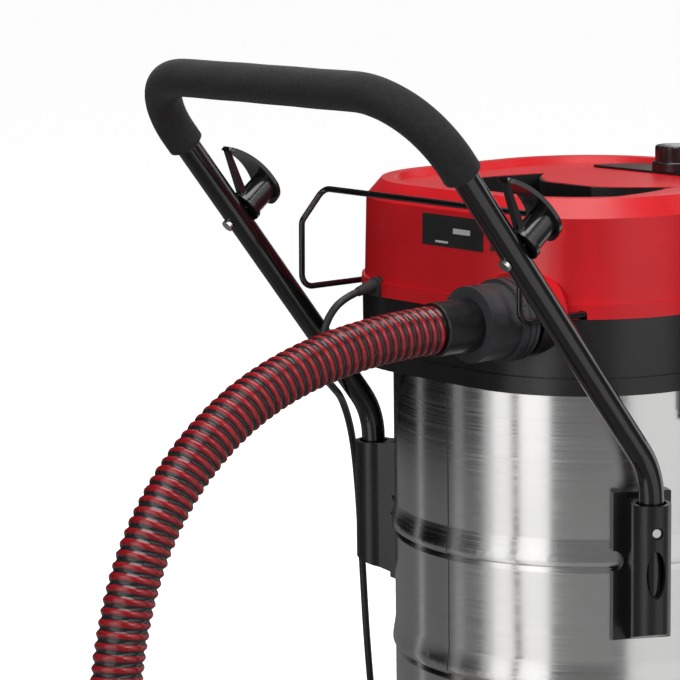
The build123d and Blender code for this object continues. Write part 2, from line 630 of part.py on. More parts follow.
def head_lower_shell():
    """The black band, with the skirt that drops over the drum's rim and the motor deck."""
    inner = HEAD_HALF - HEAD_WALL
    inner_corner = HEAD_CORNER - HEAD_WALL
    skirt = tapered_square(HEAD_HALF + SKIRT_STEP, HEAD_CORNER + SKIRT_STEP, SKIRT_BOTTOM,
                           HEAD_HALF + SKIRT_STEP, HEAD_CORNER + SKIRT_STEP, SKIRT_TOP)
    skirt -= upright(DRUM_RADIUS + 2, SKIRT_BOTTOM - 1, SKIRT_TOP + 1)
    band = tapered_square(HEAD_HALF - 0.5, HEAD_CORNER, SKIRT_TOP, HEAD_HALF - 0.5, HEAD_CORNER, HEAD_SPLIT)
    band -= tapered_square(inner, inner_corner, DECK_Z + DECK, inner, inner_corner, HEAD_SPLIT + 1)
    band -= upright(DECK_HOLE, DECK_Z - 1, DECK_Z + DECK + 1)
    body = skirt + band
    neck = Pos(PORT_X, 0, PORT_Z)
    boss = neck * along_y(PORT_RADIUS + 6.5, HEAD_HALF - 47, HEAD_HALF - 5)
    body += boss
    body -= neck * along_y(PORT_RADIUS, HEAD_HALF - 77, HEAD_HALF + 5)
    body -= neck * along_y(PORT_RADIUS + 2.5, PORT_MOUTH_Y - 30, HEAD_HALF + 5)
    for x, y in screw_places():
        body += Pos(x, y, 0) * (upright(8, DECK_Z, HEAD_SPLIT - 40.2))
        body -= Pos(x, y, 0) * upright(2.2, DECK_Z - 1, HEAD_SPLIT - 40)
    for y in (LATCH_Y - LATCH_HALF - 4.5, LATCH_Y + LATCH_HALF + 0.5):
        ear = block(HEAD_HALF - 6, LATCH_PIVOT_X + 6, y, y + 4, LATCH_PIVOT_Z - 8, LATCH_PIVOT_Z + 8)
        ear = fillet(ear.edges().filter_by(Axis.Y).group_by(Axis.X)[-1], 5)
        ear -= Pos(LATCH_PIVOT_X, 0, LATCH_PIVOT_Z) * along_y(LATCH_PIN_RADIUS, y - 1, y + 5)
        ear -= block(0, HEAD_HALF - 2, y - 1, y + 5, SKIRT_BOTTOM, HEAD_TOP)
        body += both_sides(ear)
    return body


def head_screws():
    screws = Part()
    for x, y in screw_places():
        screw = upright(4.5, DECK_Z - 3, DECK_Z) + upright(2, DECK_Z, HEAD_SPLIT - 8)
        screws += Pos(x, y, 0) * screw
    return screws


def carry_grip_insert():
    """A black tub that lines the hand pocket."""
    depth = 28
    outside = extrude(Pos(0, 0, PANEL_Z - depth) * hand_pocket_outline(-0.4), depth - 0.5)
    inside = extrude(Pos(0, 0, PANEL_Z - depth + 2.5) * hand_pocket_outline(-2.7), depth)
    return outside - inside


def control_panel():
    wide = HEAD_HALF - 96
    rear = 92 - HEAD_HALF
    front = 40 - HEAD_HALF
    plate = make_face(Polyline((-wide, rear), (wide, rear), (wide - 25, front), (25 - wide, front), close=True))
    plate = fillet(plate.vertices(), 5)
    body = extrude(Pos(0, 0, PANEL_Z) * plate, 2.5)
    return body - Pos(0, KNOB_Y, 0) * upright(4.5, PANEL_Z - 1, PANEL_Z + 4)


def power_knob():
    base = PANEL_Z + 2.8
    knob = upright(KNOB_RADIUS, base, base + 9)
    knob = fillet(knob.edges().group_by(Axis.Z)[-1], 2)
    grip = upright(KNOB_RADIUS - 3, base + 9, base + 25)
    grip = fillet(grip.edges().group_by(Axis.Z)[-1], 2.5)
    flutes = 18
    for i in range(flutes):
        turn = 2 * math.pi * i / flutes
        place = Pos((KNOB_RADIUS - 2.2) * math.cos(turn), (KNOB_RADIUS - 2.2) * math.sin(turn), 0)
        grip -= place * upright(1.8, base + 10.5, base + 26)
    knob += grip
    knob -= block(-1.5, 1.5, 8, KNOB_RADIUS, base + 24, base + 27)
    knob += upright(4, PANEL_Z - 6, base)
    return Pos(0, KNOB_Y, 0) * knob


def switch_module():
    body = block(-28, 28, KNOB_Y - 22, KNOB_Y + 22, PANEL_Z - 46, PANEL_Z - 6.3)
    return fillet(body.edges().filter_by(Axis.Z), 3)


def outlet_socket():
    """A round appliance socket on the front, with a lip that carries the flap's pin."""
    front = -HEAD_HALF - 1
    body = along_y(OUTLET_RADIUS, front, front + 5) + along_y(OUTLET_RADIUS - 2.2, front, front + 34)
    body -= along_y(OUTLET_RADIUS - 5, front - 1, front + 24)
    body += along_y(3, front + 22, front + 24)
    for x in (-9.5, 9.5):
        body -= Pos(x, 0, 0) * along_y(2.6, front + 20, front + 36)
    for x0 in (-17, 13):
        body += block(x0, x0 + 4, front - 7, front + 3, OUTLET_RADIUS - 9, OUTLET_RADIUS + 4.5)
    body += Pos(0, front - FLAP_PIN_OUT, OUTLET_RADIUS + 1.5) * along_x(1.5, -15, 15)
    body = Pos(OUTLET_X, 0, OUTLET_Z) * body
    return body - head_outside(0) - block(-60, 60, 97 - HEAD_HALF, 100, HEAD_SPLIT - 21, WALL_TOP + 16) + (
        Pos(OUTLET_X, 0, OUTLET_Z) * outlet_barrel(front))


def outlet_barrel(front):
    body = along_y(OUTLET_RADIUS - 2.2, front + 4, front + 34)
    body -= along_y(OUTLET_RADIUS - 5, front + 3, front + 24)
    for x in (-9.5, 9.5):
        body -= Pos(x, 0, 0) * along_y(2.6, front + 20, front + 36)
    return body


def outlet_flap():
    seat = -HEAD_HALF - 1
    front = seat - FLAP_GAP
    lid = along_y(OUTLET_RADIUS - 1, front - 3, front)
    lid &= block(-40, 40, front - 10, 0, -40, OUTLET_RADIUS - 9.6)
    arm = block(-12.4, 12.4, front - 3, front, 8, OUTLET_RADIUS + 1.5)
    pin = Pos(0, seat - FLAP_PIN_OUT, OUTLET_RADIUS + 1.5)
    barrel = pin * along_x(3.2, -12.4, 12.4)
    bore = pin * along_x(1.5 + RUNNING_FIT, -20, 20)
    pull = block(-8, 8, front - 5.5, front - 2, -OUTLET_RADIUS + 3, -OUTLET_RADIUS + 6)
    return Pos(OUTLET_X, 0, OUTLET_Z) * (lid + arm + barrel + pull - bore)


def latch():
    """The left latch: a lever that hangs from its pin and hooks under the drum's catch."""
    x0 = LATCH_FACE_X
    x1 = LATCH_FACE_X + LATCH_PLATE
    y0 = LATCH_Y - LATCH_HALF
    y1 = LATCH_Y + LATCH_HALF
    tail = CATCH_BOTTOM - 7
    lever = block(x0, x1, y0, y1, tail, LATCH_PIVOT_Z)
    lever += Pos(LATCH_PIVOT_X, 0, LATCH_PIVOT_Z) * along_y(5, y0, y1)
    lever += block(x0 - 7, x1, y0 + 5, y1 - 5, tail, CATCH_BOTTOM - 1)
    grip = block(x1 - 1, x1 + 7, y0 + 8, y1 - 8, tail, tail + 6)
    lever += fillet(grip.edges().filter_by(Axis.Y).group_by(Axis.X)[-1], 2.5)
    lever -= Pos(LATCH_PIVOT_X, 0, LATCH_PIVOT_Z) * along_y(LATCH_PIN_RADIUS + RUNNING_FIT, y0 - 1, y1 + 1)
    for i in range(4):
        z = CATCH_BOTTOM + 14 + 12 * i
        lever -= block(x1 - 1.2, x1 + 1, y0 + 8, y1 - 8, z, z + 4)
    return lever


def latch_pins():
    y0 = LATCH_Y - LATCH_HALF - 4.5
    y1 = LATCH_Y + LATCH_HALF + 4.5
    pin = Pos(LATCH_PIVOT_X, 0, LATCH_PIVOT_Z) * along_y(LATCH_PIN_RADIUS, y0, y1)
    return both_sides(pin)


def latch_catches():
    y0 = LATCH_Y - LATCH_HALF - 3
    y1 = LATCH_Y + LATCH_HALF + 3
    lip = block(DRUM_RADIUS - 20, LATCH_FACE_X - 1.5, y0, y1, CATCH_BOTTOM, SKIRT_BOTTOM - 2)
    lip = fillet(lip.edges().filter_by(Axis.X), 4)
    return both_sides(lip - drum_solid(0))


# ---- motor and filter ----

def motor_gasket():
    z0 = DECK_Z + DECK
    return upright(MOTOR_RADIUS + 10, z0, z0 + 2) - upright(DECK_HOLE, z0, z0 + 2)


def motor_housing():
    z0 = DECK_Z + DECK + 2
    body = upright(MOTOR_RADIUS + 10, z0, z0 + 4)
    dome = upright(MOTOR_RADIUS, z0, MOTOR_TOP)
    dome = fillet(dome.edges().group_by(Axis.Z)[-1], 12)
    body += dome
    room = upright(MOTOR_RADIUS - 3, z0, MOTOR_TOP - 3)
    body -= fillet(room.edges().group_by(Axis.Z)[-1], 10)
    body += upright(10, MOTOR_TOP - 14, MOTOR_TOP - 2)
    body -= upright(4 + RUNNING_FIT, MOTOR_TOP - 15, MOTOR_TOP - 4)
    for i in range(8):
        vent = block(MOTOR_RADIUS - 8, MOTOR_RADIUS + 2, -9, 9, MOTOR_TOP - 50, MOTOR_TOP - 38)
        body -= Rot(0, 0, 45 * i) * vent
    return body


def motor_rotor():
    """The shaft with its armature, and the suction fan below it."""
    body = upright(4, DECK_Z + 12, MOTOR_TOP - 5)
    body += upright(31, DECK_Z + 46, DECK_Z + 90) + upright(14, DECK_Z + 90, DECK_Z + 98)
    fan = upright(58, DECK_Z + 16, DECK_Z + 18) + upright(58, DECK_Z + 28, DECK_Z + 30)
    fan -= upright(22, DECK_Z + 15, DECK_Z + 19)
    fan += upright(9, DECK_Z + 14, DECK_Z + 30)
    for i in range(9):
        fan += Rot(0, 0, 40 * i) * block(8, 56, -0.9, 0.9, DECK_Z + 17, DECK_Z + 29)
    return body + fan


def exhaust_filter():
    bottom = DECK_Z + 20
    return upright(MOTOR_RADIUS + 22, bottom, bottom + 56) - upright(MOTOR_RADIUS + 1, bottom, bottom + 56)


def filter_cage():
    """The float's cage: a slotted cup that hangs under the deck and carries the filter."""
    top = DECK_Z
    body = upright(CAGE_RADIUS, CAGE_BOTTOM, top) - upright(CAGE_RADIUS - 2.5, CAGE_BOTTOM + 3, top + 1)
    body += upright(DECK_HOLE + 14, top - 3, top) - upright(CAGE_RADIUS - 2.5, top - 4, top + 1)
    for i in range(4):
        window = block(0, CAGE_RADIUS + 5, -11, 11, CAGE_BOTTOM + 12, top - 18)
        body -= Rot(0, 0, 45 * (2 * i + 1)) * window
    return body


def filter_cartridge():
    """A pleated ring between two end plates, closed below."""
    top = DECK_Z - 3
    body = upright(FILTER_RADIUS - 3, CAGE_BOTTOM - 4, top)
    body += upright(FILTER_RADIUS, CAGE_BOTTOM - 8, CAGE_BOTTOM - 1)
    body += upright(FILTER_RADIUS, top - 8, top)
    return body - upright(CAGE_RADIUS + 0.5, CAGE_BOTTOM - 1, top + 1)


def float_ball():
    return Pos(0, 0, CAGE_BOTTOM + 3.3 + 20) * Sphere(20)


# ---- blow port, hose holder, hose ----

def blow_port():
    """A spigot through the rear wall with two raised rings behind its mouth."""
    body = along_y(PORT_RADIUS, PORT_MOUTH_Y - 74, PORT_MOUTH_Y)
    body += along_y(PORT_RADIUS + 1.8, PORT_MOUTH_Y - 29, PORT_MOUTH_Y - 26)
    body += along_y(PORT_RADIUS + 1.8, PORT_MOUTH_Y - 22, PORT_MOUTH_Y - 19)
    body -= along_y(PORT_BORE, PORT_MOUTH_Y - 75, PORT_MOUTH_Y + 1)
    return Pos(PORT_X, 0, PORT_Z) * body


def hose_holder():
    """One bent wire: two arms from the head's lip, two uprights and a bar above."""
    left = [
        (WIRE_HALF, HEAD_HALF - 55, WIRE_Z),
        (WIRE_HALF, HEAD_HALF + 35, WIRE_Z),
        (WIRE_HALF, HEAD_HALF + 34, WIRE_Z + 65),
        (WIRE_HALF, HEAD_HALF + 6, WIRE_Z + 95),
    ]
    points = left + [(-x, y, z) for x, y, z in reversed(left)]
    return rod_along(points, [13, 9, 9, 9, 9, 13], WIRE_RADIUS)


def coupling_place(shape):
    return Pos(PORT_X, PORT_MOUTH_Y - COUPLING_OVERLAP, PORT_Z) * shape


def hose_coupling():
    """The body that slides over the blow port, with flats for the hand."""
    body = along_y(COUPLING_RADIUS, 0, RING_WIDTH + 1)
    outline = Plane.XZ * RegularPolygon(COUPLING_RADIUS + 0.6, COUPLING_FACETS)
    facets = extrude(outline, COUPLING_LENGTH - 1, dir=(0, 1, 0))
    body += facets & along_y(COUPLING_RADIUS, RING_WIDTH + 1, COUPLING_LENGTH - 1)
    body += along_y(COUPLING_RADIUS, COUPLING_LENGTH - 3, COUPLING_LENGTH)
    body -= block(-4, 4, COUPLING_LENGTH - 12, COUPLING_LENGTH - 8, COUPLING_RADIUS - 2, COUPLING_RADIUS + 2)
    body -= along_y(PORT_RADIUS + 0.3, -1, COUPLING_OVERLAP + 0.2)
    body -= along_y(PORT_BORE, -1, COUPLING_LENGTH - 8)
    body -= along_y(HOSE_RADIUS - 3, -1, COUPLING_LENGTH + 1)
    return coupling_place(body)


def coupling_ring():
    ring = along_y(RING_RADIUS, 0, RING_WIDTH) - along_y(COUPLING_RADIUS + RUNNING_FIT, -1, RING_WIDTH + 1)
    for start, end in ((4, 5.6), (11, 12.6)):
        ring -= along_y(RING_RADIUS + 1, start, end) - along_y(RING_RADIUS - 0.9, start - 1, end + 1)
    for i in range(COUPLING_FACETS):
        turn = 2 * math.pi * i / COUPLING_FACETS
        notch = along_y(1.1, RING_WIDTH - 5, RING_WIDTH + 1)
        ring -= Pos((RING_RADIUS + 0.4) * math.cos(turn), 0, (RING_RADIUS + 0.4) * math.sin(turn)) * notch
    return coupling_place(ring)


def hose_sleeve():
    sleeve = along_y(SLEEVE_RADIUS, COUPLING_LENGTH, COUPLING_LENGTH + SLEEVE_LENGTH)
    sleeve = fillet(sleeve.edges().group_by(Axis.Y)[-1], 1.5)
    sleeve -= along_y(HOSE_RADIUS - 3, COUPLING_LENGTH - 1, COUPLING_LENGTH + SLEEVE_LENGTH + 1)
    return coupling_place(sleeve)


HOSE_START_Y = PORT_MOUTH_Y - COUPLING_OVERLAP + COUPLING_LENGTH + SLEEVE_LENGTH
HOSE_POINTS = [
    (PORT_X, HOSE_START_Y, PORT_Z),
    (PORT_X, HOSE_START_Y + 150, PORT_Z),
    (-118, 612, 518),
    (-128, 674, 328),
    (-142, 636, 138),
    (-156, 500, 27),
]

CORD_POINTS = [
    (CORD_EXIT.X, CORD_EXIT.Y, CORD_EXIT.Z),
    (CORD_BEND.X, CORD_BEND.Y, CORD_BEND.Z),
    (91, 252, 607),
    (95, 258, 585),
    (103, 252, 562),
    (128, 229, 540),
    (168, 186, 519),
    (208, 142, 497),
    (240, 104, 455),
    (253, 86, 398),
    (257, 78, 315),
    (256, 74, 225),
    (253, 68, 135),
    (250, 50, 62),
    (251, -2, 15),
]


def hose_run():
    return rod_along(HOSE_POINTS, fair_radii(HOSE_POINTS), HOSE_RADIUS)


def coil_solid(centre, mean_radius, width, height):
    section = Pos(mean_radius, height / 2) * RectangleRounded(width, height, 0.45 * min(width, height))
    return Pos(centre[0], centre[1], 0) * revolve(Plane.XZ * section, axis=Axis.Z)


def hose_coil():
    return coil_solid(HOSE_COIL_CENTRE, HOSE_COIL_RADIUS, 4 * HOSE_RADIUS, 2 * HOSE_RADIUS)


def hose_end_cuff():
    cuff = along_x(25, 0, 62) - along_x(HOSE_RADIUS - 3, -1, 63)
    cuff = fillet(cuff.edges().group_by(Axis.X)[-1], 1)
    place = Pos(HOSE_COIL_CENTRE[0] - 96, HOSE_COIL_CENTRE[1] - 136, 25) * Rot(0, 0, -14)
    return place * cuff


# ---- mains lead ----

def cord_grommet():
    """The gland in the head's rear wall, with a tapered strain relief."""
    face = GROMMET_FACE_Y
    plate = block(-7.6, 7.6, face - 12.5, face, HEAD_SPLIT + 0.2 - CORD_Z, 0) + along_y(7.6, face - 12.5, face)
    taper = Rot(-90 - CORD_DIP, 0, 0) * Cone(6.2, 4.6, CORD_TAPER, align=LOW)
    taper += Rot(-90 - CORD_DIP, 0, 0) * (Pos(0, 0, -4) * Cylinder(6.2, 4, align=LOW))
    body = plate + Pos(0, face, 0) * taper
    return Pos(CORD_X, 0, CORD_Z) * body


def power_cord():
    return rod_along(CORD_POINTS, fair_radii(CORD_POINTS), CORD_RADIUS)


def power_cord_coil():
    return coil_solid(CORD_COIL_CENTRE, CORD_COIL_RADIUS, CORD_COIL_WIDTH, CORD_COIL_HEIGHT)


def power_plug():
    """A round two pin plug with a tapered tail."""
    body = Pos(22, 0, 0) * (Rot(0, 90, 0) * Cylinder(17, 26, align=LOW))
    body = fillet(body.edges().filter_by(GeomType.CIRCLE), 2.5)
    body += Rot(0, 90, 0) * Cone(5, 10, 23, align=LOW)
    for y in (-9.5, 9.5):
        body += Pos(0, y, 0) * along_x(2.4, 48, 66)
    place = Pos(CORD_COIL_CENTRE[0] - 22, CORD_COIL_CENTRE[1] - 72, 17.2) * Rot(0, 0, -26)
    return place * body


PARTS = {
    "base_chassis": base_chassis(),
    "rear_axle": rear_axle(),
    "rear_wheel_left": rear_wheel(),
    "rear_wheel_right": mirrored(rear_wheel()),
    "rear_tyre_left": rear_tyre(),
    "rear_tyre_right": mirrored(rear_tyre()),
    "hub_cap_left": hub_cap(),
    "hub_cap_right": mirrored(hub_cap()),
    "caster_fork_left": caster_fork(1),
    "caster_fork_right": caster_fork(-1),
    "caster_axle_left": caster_axle(1),
    "caster_axle_right": caster_axle(-1),
    "caster_wheel_left": caster_wheel(1),
    "caster_wheel_right": caster_wheel(-1),
    "drum": drum(),
    "drum_rim_seal": drum_rim_seal(),
    "suction_inlet": suction_inlet(),
    "inlet_screws": inlet_screws(),
    "drain_plug": drain_plug(),
    "handle_socket_left": handle_socket(),
    "handle_socket_right": mirrored(handle_socket()),
    "socket_screws": socket_screws(),
    "handle_tube": handle_tube(),
    "foam_grip": foam_grip(),
    "hook_bolts": hook_bolts(),
    "cable_hook_left": cable_hook(),
    "cable_hook_right": mirrored(cable_hook()),
    "head_lower_shell": head_lower_shell(),
    "head_top_shell": head_top_shell(),
    "head_screws": head_screws(),
    "carry_grip_insert": carry_grip_insert(),
    "control_panel": control_panel(),
    "power_knob": power_knob(),
    "switch_module": switch_module(),
    "outlet_socket": outlet_socket(),
    "outlet_flap": outlet_flap(),
    "latch_left": latch(),
    "latch_right": mirrored(latch()),
    "latch_pins": latch_pins(),
    "latch_catches": latch_catches(),
    "motor_gasket": motor_gasket(),
    "motor_housing": motor_housing(),
    "motor_rotor": motor_rotor(),
    "exhaust_filter": exhaust_filter(),
    "filter_cage": filter_cage(),
    "filter_cartridge": filter_cartridge(),
    "float_ball": float_ball(),
    "blow_port": blow_port(),
    "hose_holder": hose_holder(),
    "hose_coupling": hose_coupling(),
    "coupling_ring": coupling_ring(),
    "hose_sleeve": hose_sleeve(),
    "hose_run": hose_run(),
    "hose_coil": hose_coil(),
    "hose_end_cuff": hose_end_cuff(),
    "cord_grommet": cord_grommet(),
    "power_cord": power_cord(),
    "power_cord_coil": power_cord_coil(),
    "power_plug": power_plug(),
}

# The origin is under the middle of the object, its loose hose and lead left out.
REAR_END = GRIP_Y + FOAM_RADIUS
FRONT_END = -INLET_REACH
MIDDLE_Y = (REAR_END + FRONT_END) / 2

os.makedirs("parts", exist_ok=True)
for name, shape in PARTS.items():
    export_step(Pos(0, -MIDDLE_Y, 0) * shape, f"parts/{name}.step")

print("hose radii", [round(r) for r in fair_radii(HOSE_POINTS)])
print("lead radii", [round(r) for r in fair_radii(CORD_POINTS)])
for name, radius in (("hose_run", HOSE_RADIUS), ("power_cord", CORD_RADIUS)):
    points = HOSE_POINTS if name == "hose_run" else CORD_POINTS
    length = FilletPolyline(*points, radius=fair_radii(points)).length
    print(name, "length", round(length), "volume ratio", PARTS[name].volume / (math.pi * radius**2 * length))
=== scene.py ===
import json
import math

import bmesh
import bpy
from mathutils import Matrix, Vector
from mathutils.bvhtree import BVHTree


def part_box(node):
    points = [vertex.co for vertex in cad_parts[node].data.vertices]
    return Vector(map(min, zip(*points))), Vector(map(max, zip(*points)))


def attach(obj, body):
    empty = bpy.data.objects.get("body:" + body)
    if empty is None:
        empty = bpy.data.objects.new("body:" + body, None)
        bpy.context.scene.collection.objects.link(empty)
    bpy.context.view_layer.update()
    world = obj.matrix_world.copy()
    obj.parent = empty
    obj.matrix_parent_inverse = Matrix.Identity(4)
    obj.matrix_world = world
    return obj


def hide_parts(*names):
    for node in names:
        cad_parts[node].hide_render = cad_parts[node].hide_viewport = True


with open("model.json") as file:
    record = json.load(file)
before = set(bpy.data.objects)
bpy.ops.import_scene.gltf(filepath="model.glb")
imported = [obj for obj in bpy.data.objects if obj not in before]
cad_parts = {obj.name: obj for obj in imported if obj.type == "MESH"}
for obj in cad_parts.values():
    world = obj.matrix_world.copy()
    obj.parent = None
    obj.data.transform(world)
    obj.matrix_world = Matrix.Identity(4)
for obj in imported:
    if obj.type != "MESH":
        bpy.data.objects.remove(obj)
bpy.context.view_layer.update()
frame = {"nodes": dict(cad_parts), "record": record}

BODY = "machine"
DRUM_Y = -0.089             # the drum's axis, in the row frame

# ---- materials ----


def new_material(name):
    material = bpy.data.materials.new(name)
    material.use_nodes = True
    tree = material.node_tree
    shader = tree.nodes["Principled BSDF"]
    return material, tree, shader


def node(tree, kind, **values):
    made = tree.nodes.new(kind)
    for key, value in values.items():
        setattr(made, key, value)
    return made


def coordinates(tree, scale=(1, 1, 1)):
    """Object coordinates, stretched by scale."""
    place = node(tree, "ShaderNodeTexCoord")
    mapping = node(tree, "ShaderNodeMapping")
    mapping.inputs["Scale"].default_value = scale
    tree.links.new(place.outputs["Object"], mapping.inputs["Vector"])
    return mapping.outputs["Vector"]


def noise(tree, vector, scale, detail=3.0, rough=0.5):
    made = node(tree, "ShaderNodeTexNoise")
    made.inputs["Scale"].default_value = scale
    made.inputs["Detail"].default_value = detail
    made.inputs["Roughness"].default_value = rough
    tree.links.new(vector, made.inputs["Vector"])
    return made.outputs["Fac"]


def spread(tree, value, low, high, from_low=0.3, from_high=0.7):
    """Maps a value to a range."""
    made = node(tree, "ShaderNodeMapRange")
    made.inputs["From Min"].default_value = from_low
    made.inputs["From Max"].default_value = from_high
    made.inputs["To Min"].default_value = low
    made.inputs["To Max"].default_value = high
    tree.links.new(value, made.inputs["Value"])
    return made.outputs["Result"]


def blend_colours(tree, factor, dark, light):
    made = node(tree, "ShaderNodeMix", data_type="RGBA")
    made.inputs["A"].default_value = (*dark, 1)
    made.inputs["B"].default_value = (*light, 1)
    tree.links.new(factor, made.inputs["Factor"])
    return made.outputs["Result"]


def bump(tree, shader, height, strength, distance):
    made = node(tree, "ShaderNodeBump")
    made.inputs["Strength"].default_value = strength
    made.inputs["Distance"].default_value = distance
    tree.links.new(height, made.inputs["Height"])
    tree.links.new(made.outputs["Normal"], shader.inputs["Normal"])
    return made


def moulded(name, dark, light, rough, grain=900.0, grain_depth=0.00004, specular=0.5, metallic=0.0, coat=0.0):
    """Moulded or coated stuff: a slow tone change, a fine grain and uneven gloss."""
    material, tree, shader = new_material(name)
    place = coordinates(tree)
    slow = noise(tree, place, 14, 4)
    fine = noise(tree, place, grain, 2)
    tree.links.new(blend_colours(tree, spread(tree, slow, 0, 1), dark, light), shader.inputs["Base Color"])
    tree.links.new(spread(tree, fine, rough - 0.05, rough + 0.05), shader.inputs["Roughness"])
    shader.inputs["Specular IOR Level"].default_value = specular
    shader.inputs["Metallic"].default_value = metallic
    shader.inputs["Coat Weight"].default_value = coat
    shader.inputs["Coat Roughness"].default_value = 0.12
    bump(tree, shader, fine, 0.6, grain_depth)
    return material


def brushed_steel(name, tint, rough):
    """Steel brushed round the drum's axis: long grain along the skin, short grain up it."""
    material, tree, shader = new_material(name)
    grain = noise(tree, coordinates(tree, (5, 5, 1400)), 1.0, 5, 0.65)
    band = noise(tree, coordinates(tree, (1.5, 1.5, 160)), 1.0, 4, 0.6)
    cloud = noise(tree, coordinates(tree), 9, 3)
    dark = tuple(0.90 * part for part in tint)
    mix = node(tree, "ShaderNodeMath", operation="MULTIPLY_ADD")
    mix.inputs[1].default_value = 0.6
    tree.links.new(grain, mix.inputs[0])
    tree.links.new(spread(tree, band, 0.1, 0.25, 0.2, 0.8), mix.inputs[2])
    tree.links.new(blend_colours(tree, spread(tree, mix.outputs[0], 0, 1), dark, tint), shader.inputs["Base Color"])
    uneven = node(tree, "ShaderNodeMath", operation="ADD")
    tree.links.new(spread(tree, grain, rough - 0.06, rough + 0.08), uneven.inputs[0])
    tree.links.new(spread(tree, cloud, -0.02, 0.03), uneven.inputs[1])
    tree.links.new(uneven.outputs[0], shader.inputs["Roughness"])
    shader.inputs["Metallic"].default_value = 1.0
    bump(tree, shader, grain, 0.25, 0.00002)
    return material


def foam_material():
    material, tree, shader = new_material("foam_black")
    place = coordinates(tree)
    cells = node(tree, "ShaderNodeTexVoronoi")
    cells.inputs["Scale"].default_value = 900
    tree.links.new(place, cells.inputs["Vector"])
    mottle = noise(tree, place, 260, 5, 0.7)
    colour = blend_colours(tree, spread(tree, mottle, 0, 1), (0.005, 0.005, 0.0055), (0.018, 0.018, 0.019))
    tree.links.new(colour, shader.inputs["Base Color"])
    tree.links.new(spread(tree, mottle, 0.82, 0.95), shader.inputs["Roughness"])
    shader.inputs["Specular IOR Level"].default_value = 0.25
    shader.inputs["Sheen Weight"].default_value = 0.08
    shader.inputs["Sheen Roughness"].default_value = 0.5
    height = node(tree, "ShaderNodeMath", operation="ADD")
    tree.links.new(mottle, height.inputs[0])
    tree.links.new(cells.outputs["Distance"], height.inputs[1])
    bump(tree, shader, height.outputs[0], 0.8, 0.00035)
    return material


def hose_material():
    """Two coloured helical bands, read from the unrolled skin of the hose."""
    material, tree, shader = new_material("hose_two_tone")
    skin = node(tree, "ShaderNodeUVMap", uv_map="skin")
    split = node(tree, "ShaderNodeSeparateXYZ")
    tree.links.new(skin.outputs["UV"], split.inputs[0])
    phase = node(tree, "ShaderNodeMath", operation="FRACT")
    tree.links.new(split.outputs["X"], phase.inputs[0])
    ramp = node(tree, "ShaderNodeValToRGB")
    stops = [(0.0, 0.0), (0.24, 0.0), (0.30, 1.0), (0.70, 1.0), (0.76, 0.0), (1.0, 0.0)]
    while len(ramp.color_ramp.elements) < len(stops):
        ramp.color_ramp.elements.new(0.5)
    for element, (place, level) in zip(ramp.color_ramp.elements, stops):
        element.position = place
        element.color = (level, level, level, 1)
    tree.links.new(phase.outputs[0], ramp.inputs[0])
    tone = noise(tree, coordinates(tree), 60, 3)
    red = blend_colours(tree, spread(tree, tone, 0, 1), (0.20, 0.002, 0.006), (0.28, 0.004, 0.009))
    mix = node(tree, "ShaderNodeMix", data_type="RGBA")
    mix.inputs["B"].default_value = (0.012, 0.010, 0.011, 1)
    tree.links.new(ramp.outputs["Color"], mix.inputs["Factor"])
    tree.links.new(red, mix.inputs["A"])
    tree.links.new(mix.outputs["Result"], shader.inputs["Base Color"])
    tree.links.new(spread(tree, tone, 0.18, 0.26), shader.inputs["Roughness"])
    return material


def paper_material():
    material, tree, shader = new_material("filter_paper")
    place = coordinates(tree)
    fibre = noise(tree, place, 700, 5, 0.7)
    colour = blend_colours(tree, spread(tree, fibre, 0, 1), (0.66, 0.63, 0.55), (0.80, 0.78, 0.70))
    tree.links.new(colour, shader.inputs["Base Color"])
    shader.inputs["Roughness"].default_value = 0.9
    bump(tree, shader, fibre, 0.5, 0.0001)
    return material


STEEL = brushed_steel("drum_stainless", (0.66, 0.655, 0.65), 0.17)
PAINTS = {
    "stainless": STEEL,
    "red_plastic": moulded("red_moulding", (0.50, 0.004, 0.008), (0.58, 0.006, 0.012), 0.34, 1300, 0.00003, 0.40),
    "black_plastic": moulded("black_moulding", (0.007, 0.007, 0.0075), (0.012, 0.012, 0.013), 0.30, 1100, 0.00005, 0.4),
    "grey_plastic": moulded("grey_moulding", (0.032, 0.033, 0.036), (0.044, 0.045, 0.049), 0.42, 1100, 0.00005, 0.4),
    "black_gloss": moulded("black_gloss", (0.008, 0.008, 0.009), (0.012, 0.012, 0.013), 0.16, 400, 0.00001, 0.6),
    "black_paint": moulded("black_paint", (0.003, 0.003, 0.0035), (0.005, 0.005, 0.006), 0.14, 350, 0.00001, 0.5,
                           coat=0.2),
    "zinc": moulded("zinc_plate", (0.50, 0.50, 0.49), (0.62, 0.62, 0.60), 0.30, 500, 0.00002, 0.5, 1.0),
    "steel_dark": moulded("turned_steel", (0.32, 0.32, 0.33), (0.42, 0.42, 0.43), 0.32, 600, 0.00002, 0.5, 1.0),
    "rubber": moulded("soft_rubber", (0.016, 0.016, 0.016), (0.026, 0.026, 0.026), 0.66, 800, 0.00006, 0.3),
    "tyre": moulded("tyre_rubber", (0.018, 0.018, 0.018), (0.030, 0.029, 0.028), 0.72, 500, 0.0001, 0.3),
    "lead": moulded("lead_sheath", (0.010, 0.010, 0.011), (0.017, 0.017, 0.018), 0.45, 700, 0.00003, 0.4),
    "foam": foam_material(),
    "hose": hose_material(),
    "paper": paper_material(),
}

for entry in frame["record"]["subparts"]:
    part = frame["nodes"][entry["node"]]
    part.data.materials.clear()
    part.data.materials.append(PAINTS[entry["material_slot"]])

# ---- building helpers ----


def finish_piece(name, mesh, slot_name, material=None, body=BODY, smooth=True):
    made = bpy.data.objects.new(name, mesh)
    bpy.context.scene.collection.objects.link(made)
    mesh.materials.append(material or PAINTS[slot_name])
    if smooth:
        for face in mesh.polygons:
            face.use_smooth = True
    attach(made, body)
    return made


